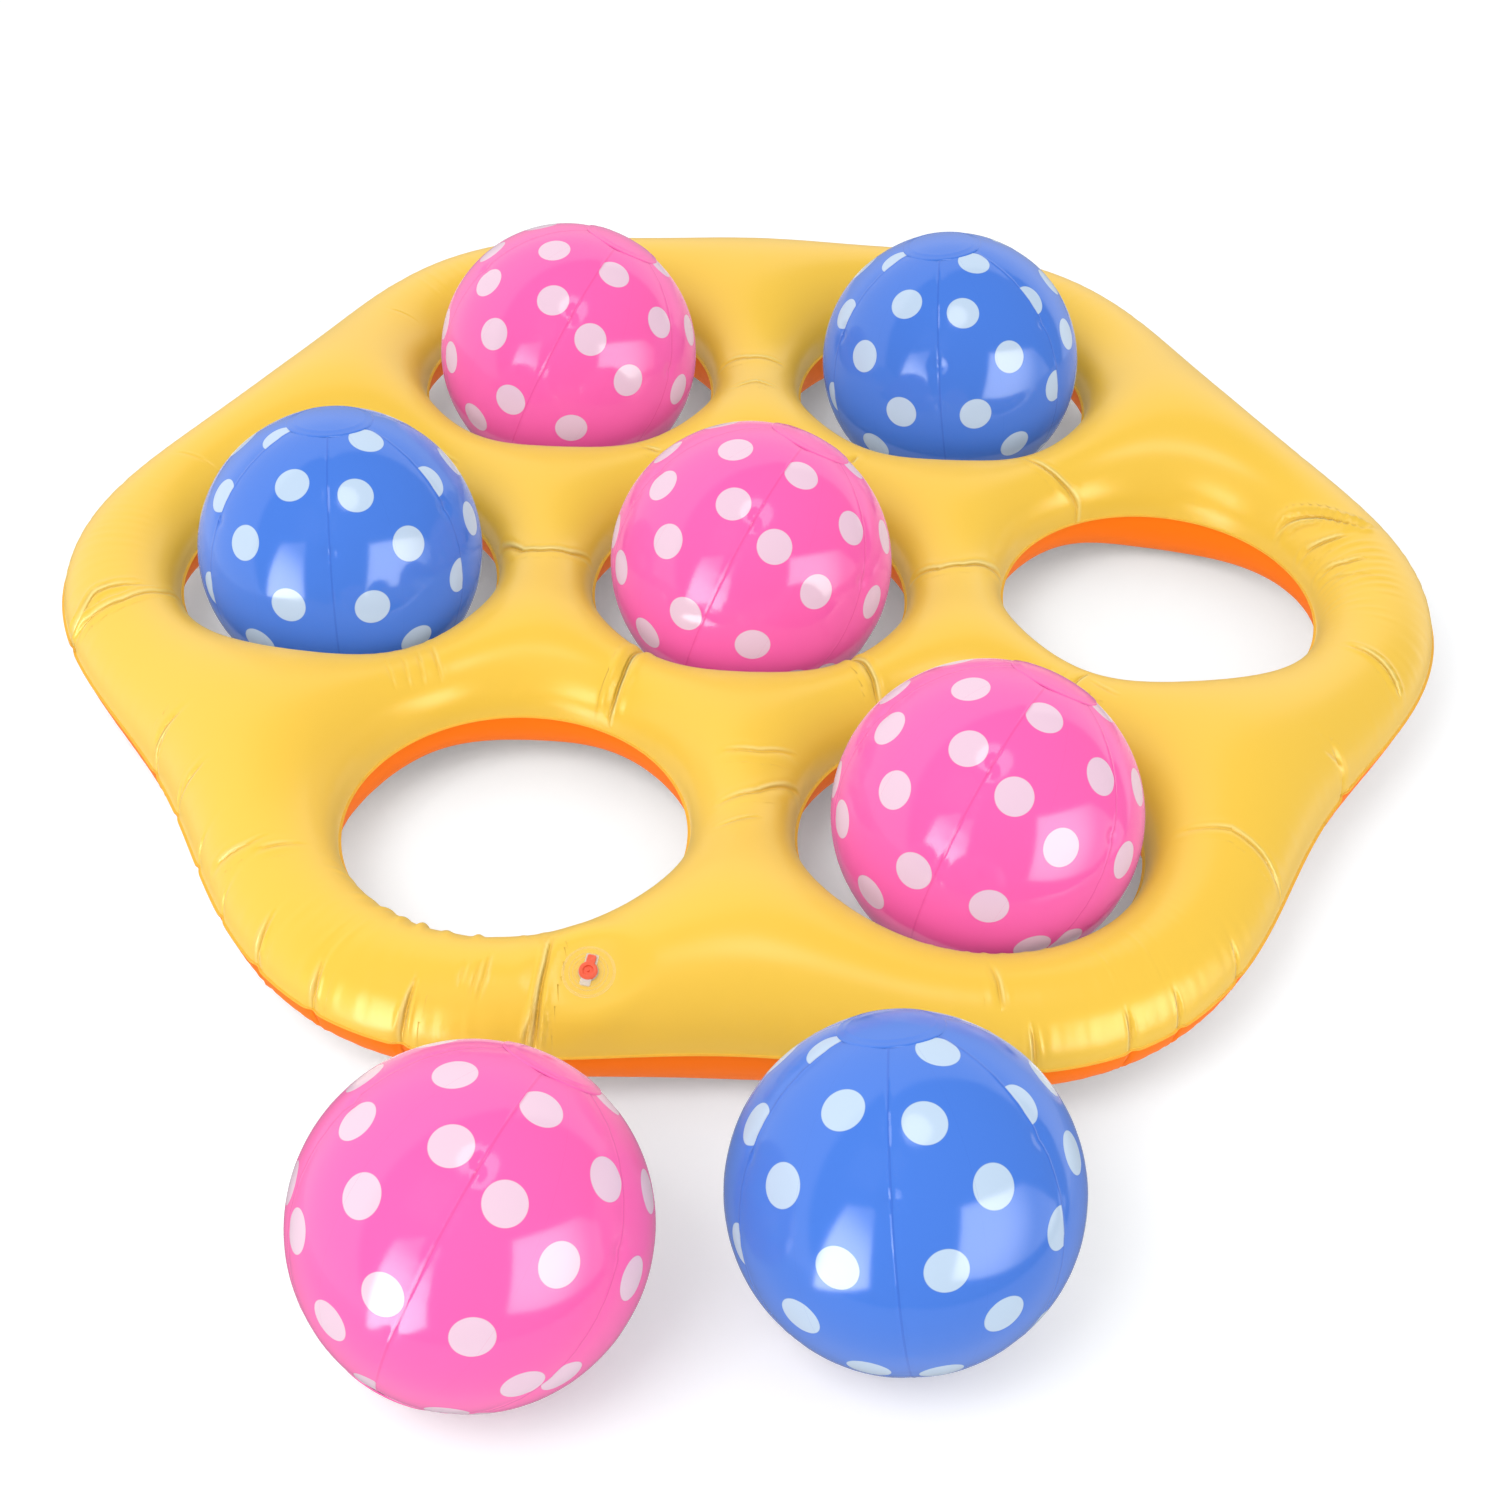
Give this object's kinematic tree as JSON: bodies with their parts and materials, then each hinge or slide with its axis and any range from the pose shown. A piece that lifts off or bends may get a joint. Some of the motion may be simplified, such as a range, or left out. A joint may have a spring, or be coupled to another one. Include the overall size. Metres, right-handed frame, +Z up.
{
  "type": "inflatable tic-tac-toe game",
  "caption": "Six-lobed inflatable board with ring-shaped air chambers round its holes, and inflatable beach balls that serve as counters.",
  "frame": {"origin": "centre of the whole game's box, on the floor that the board and all the balls rest on", "axes": "+Z up, +Y away from the loose balls across the board's lobes, +X to the right as seen from the loose balls"},
  "size_m": [1.2184, 1.4312, 0.2476],
  "materials": {
    "yellow_film": "glossy vinyl film, warm yellow",
    "orange_film": "glossy vinyl film, orange",
    "pink_film": "glossy vinyl film, pink with pale round dots",
    "blue_film": "glossy vinyl film, blue with pale round dots",
    "clear_vinyl": "clear soft vinyl, glossy",
    "red_vinyl": "orange-red soft vinyl, satin"
  },
  "bodies": {
    "board": {"bottom_sheet": "orange_film", "top_sheet": "yellow_film", "board_valve_flange": "clear_vinyl"},
    "board_valve_stem_body": {"board_valve_stem": "clear_vinyl"},
    "board_valve_plug_body": {"board_valve_plug": "red_vinyl"},
    "pink_back_left_ball": {"pink_back_left_skin": "pink_film", "pink_back_left_top_disc": "pink_film", "pink_back_left_bottom_disc": "pink_film", "pink_back_left_valve_flange": "clear_vinyl"},
    "pink_back_left_valve_stem_body": {"pink_back_left_valve_stem": "clear_vinyl"},
    "pink_back_left_valve_plug_body": {"pink_back_left_valve_plug": "red_vinyl"},
    "pink_centre_ball": {"pink_centre_skin": "pink_film", "pink_centre_top_disc": "pink_film", "pink_centre_bottom_disc": "pink_film", "pink_centre_valve_flange": "clear_vinyl"},
    "pink_centre_valve_stem_body": {"pink_centre_valve_stem": "clear_vinyl"},
    "pink_centre_valve_plug_body": {"pink_centre_valve_plug": "red_vinyl"},
    "pink_front_right_ball": {"pink_front_right_skin": "pink_film", "pink_front_right_top_disc": "pink_film", "pink_front_right_bottom_disc": "pink_film", "pink_front_right_valve_flange": "clear_vinyl"},
    "pink_front_right_valve_stem_body": {"pink_front_right_valve_stem": "clear_vinyl"},
    "pink_front_right_valve_plug_body": {"pink_front_right_valve_plug": "red_vinyl"},
    "blue_back_right_ball": {"blue_back_right_skin": "blue_film", "blue_back_right_top_disc": "blue_film", "blue_back_right_bottom_disc": "blue_film", "blue_back_right_valve_flange": "clear_vinyl"},
    "blue_back_right_valve_stem_body": {"blue_back_right_valve_stem": "clear_vinyl"},
    "blue_back_right_valve_plug_body": {"blue_back_right_valve_plug": "red_vinyl"},
    "blue_left_ball": {"blue_left_skin": "blue_film", "blue_left_top_disc": "blue_film", "blue_left_bottom_disc": "blue_film", "blue_left_valve_flange": "clear_vinyl"},
    "blue_left_valve_stem_body": {"blue_left_valve_stem": "clear_vinyl"},
    "blue_left_valve_plug_body": {"blue_left_valve_plug": "red_vinyl"},
    "pink_loose_ball": {"pink_loose_skin": "pink_film", "pink_loose_top_disc": "pink_film", "pink_loose_bottom_disc": "pink_film", "pink_loose_valve_flange": "clear_vinyl"},
    "pink_loose_valve_stem_body": {"pink_loose_valve_stem": "clear_vinyl"},
    "pink_loose_valve_plug_body": {"pink_loose_valve_plug": "red_vinyl"},
    "blue_loose_ball": {"blue_loose_skin": "blue_film", "blue_loose_top_disc": "blue_film", "blue_loose_bottom_disc": "blue_film", "blue_loose_valve_flange": "clear_vinyl"},
    "blue_loose_valve_stem_body": {"blue_loose_valve_stem": "clear_vinyl"},
    "blue_loose_valve_plug_body": {"blue_loose_valve_plug": "red_vinyl"}
  },
  "joints": [
    {"name": "board_valve_stem_pull", "type": "slide", "parent": "board", "child": "board_valve_stem_body", "axis": [-0.0697, -0.4166, 0.9064], "range_m": [0, 0.01]},
    {"name": "board_valve_plug_open", "type": "hinge", "parent": "board_valve_stem_body", "child": "board_valve_plug_body", "pos_m": [-0.1077, -0.35173, 0.13039], "axis": [-0.9779, 0.2079, 0.0203], "range_deg": [0, 150]},
    {"name": "pink_back_left_lift", "type": "slide", "parent": "board", "child": "pink_back_left_ball", "axis": [0, 0, 1], "range_m": [0, 0.3]},
    {"name": "pink_back_left_valve_stem_pull", "type": "slide", "parent": "pink_back_left_ball", "child": "pink_back_left_valve_stem_body", "axis": [0.0412, 0.8964, 0.4413], "range_m": [0, 0.01]},
    {"name": "pink_back_left_valve_plug_open", "type": "hinge", "parent": "pink_back_left_valve_stem_body", "child": "pink_back_left_valve_plug_body", "pos_m": [-0.1829, 0.57568, 0.16942], "axis": [-0.8423, -0.2064, 0.498], "range_deg": [0, 150]},
    {"name": "pink_centre_lift", "type": "slide", "parent": "board", "child": "pink_centre_ball", "axis": [0, 0, 1], "range_m": [0, 0.3]},
    {"name": "pink_centre_valve_stem_pull", "type": "slide", "parent": "pink_centre_ball", "child": "pink_centre_valve_stem_body", "axis": [0.0772, 0.9266, 0.3679], "range_m": [0, 0.01]},
    {"name": "pink_centre_valve_plug_open", "type": "hinge", "parent": "pink_centre_valve_stem_body", "child": "pink_centre_valve_plug_body", "pos_m": [0.00464, 0.25645, 0.15937], "axis": [-0.8743, -0.1144, 0.4717], "range_deg": [0, 150]},
    {"name": "pink_front_right_lift", "type": "slide", "parent": "board", "child": "pink_front_right_ball", "axis": [0, 0, 1], "range_m": [0, 0.3]},
    {"name": "pink_front_right_valve_stem_pull", "type": "slide", "parent": "pink_front_right_ball", "child": "pink_front_right_valve_stem_body", "axis": [0.1286, 0.9519, 0.2782], "range_m": [0, 0.01]},
    {"name": "pink_front_right_valve_plug_open", "type": "hinge", "parent": "pink_front_right_valve_stem_body", "child": "pink_front_right_valve_plug_body", "pos_m": [0.20283, -0.05708, 0.14851], "axis": [-0.9014, -0.0047, 0.4329], "range_deg": [0, 150]},
    {"name": "blue_back_right_lift", "type": "slide", "parent": "board", "child": "blue_back_right_ball", "axis": [0, 0, 1], "range_m": [0, 0.3]},
    {"name": "blue_back_right_valve_stem_pull", "type": "slide", "parent": "blue_back_right_ball", "child": "blue_back_right_valve_stem_body", "axis": [0.3462, 0.7136, 0.609], "range_m": [0, 0.01]},
    {"name": "blue_back_right_valve_plug_open", "type": "hinge", "parent": "blue_back_right_valve_stem_body", "child": "blue_back_right_valve_plug_body", "pos_m": [0.2344, 0.55969, 0.19099], "axis": [-0.7947, 0.5681, -0.2139], "range_deg": [0, 150]},
    {"name": "blue_left_lift", "type": "slide", "parent": "board", "child": "blue_left_ball", "axis": [0, 0, 1], "range_m": [0, 0.3]},
    {"name": "blue_left_valve_stem_pull", "type": "slide", "parent": "blue_left_ball", "child": "blue_left_valve_stem_body", "axis": [0.2738, 0.8155, 0.5099], "range_m": [0, 0.01]},
    {"name": "blue_left_valve_plug_open", "type": "hinge", "parent": "blue_left_valve_stem_body", "child": "blue_left_valve_plug_body", "pos_m": [-0.32191, 0.24136, 0.17794], "axis": [-0.9107, 0.3904, -0.1353], "range_deg": [0, 150]},
    {"name": "pink_loose_lift", "type": "slide", "parent": "board", "child": "pink_loose_ball", "axis": [0, 0, 1], "range_m": [0, 0.3]},
    {"name": "pink_loose_valve_stem_pull", "type": "slide", "parent": "pink_loose_ball", "child": "pink_loose_valve_stem_body", "axis": [0.0249, 0.9929, 0.1163], "range_m": [0, 0.01]},
    {"name": "pink_loose_valve_plug_open", "type": "hinge", "parent": "pink_loose_valve_stem_body", "child": "pink_loose_valve_plug_body", "pos_m": [-0.17565, -0.47007, 0.12685], "axis": [-0.8271, -0.0448, 0.5602], "range_deg": [0, 150]},
    {"name": "blue_loose_lift", "type": "slide", "parent": "board", "child": "blue_loose_ball", "axis": [0, 0, 1], "range_m": [0, 0.3]},
    {"name": "blue_loose_valve_stem_pull", "type": "slide", "parent": "blue_loose_ball", "child": "blue_loose_valve_stem_body", "axis": [0.3419, 0.8686, 0.3586], "range_m": [0, 0.01]},
    {"name": "blue_loose_valve_plug_open", "type": "hinge", "parent": "blue_loose_valve_stem_body", "child": "blue_loose_valve_plug_body", "pos_m": [0.16403, -0.44594, 0.15747], "axis": [-0.8045, 0.4678, -0.3659], "range_deg": [0, 150]}
  ]
}
